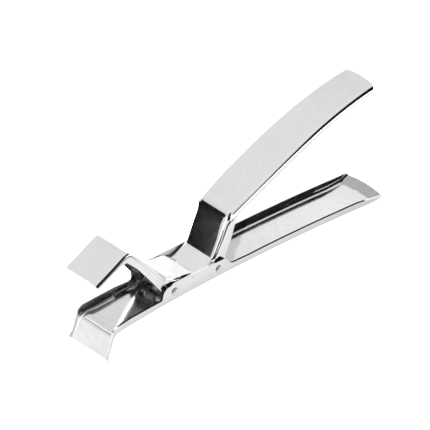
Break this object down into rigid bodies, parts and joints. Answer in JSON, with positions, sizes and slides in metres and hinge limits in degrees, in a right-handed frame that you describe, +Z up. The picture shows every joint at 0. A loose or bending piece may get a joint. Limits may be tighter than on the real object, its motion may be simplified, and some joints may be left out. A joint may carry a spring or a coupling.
{
  "type": "hot plate gripper",
  "caption": "Stamped stainless-steel plate gripper: a channel-shaped lower handle with a fixed jaw, an arched squeeze lever and a hooked upper jaw that the lever closes.",
  "frame": {"origin": "centre of the bounding box in X and Y, with the surface the part rests on at Z = 0", "axes": "+X runs along the handles from the jaws to the grip ends, +Y is along both rivets, +Z is up from the resting surface"},
  "size_m": [0.2026, 0.0286, 0.0738],
  "materials": {
    "pressed_steel": "polished stainless steel sheet",
    "rivet_steel": "polished stainless steel rivet",
    "spring_wire": "drawn spring wire"
  },
  "bodies": {
    "lower_handle": {"base_arm": "pressed_steel", "jaw_pivot_rivet": "rivet_steel", "handle_pivot_rivet": "rivet_steel", "return_spring": "spring_wire"},
    "jaw": {"upper_jaw": "pressed_steel"},
    "lever": {"upper_handle": "pressed_steel"}
  },
  "joints": [
    {"name": "lever_squeeze", "type": "hinge", "parent": "lower_handle", "child": "lever", "pos_m": [-0.0162, 0, 0.016], "axis": [0, 1, 0], "range_deg": [0, 28]},
    {"name": "jaw_close", "type": "hinge", "parent": "lower_handle", "child": "jaw", "pos_m": [-0.0471, 0, 0.018], "axis": [0, -1, 0], "range_deg": [0, 44], "stiffness_Nm_per_rad": 0.15, "springref_deg": -17.19, "deforming": ["return_spring"]}
  ],
  "couplings": [
    {"joint": "jaw_close", "follows": "lever_squeeze", "ratio": 1.5714}
  ]
}
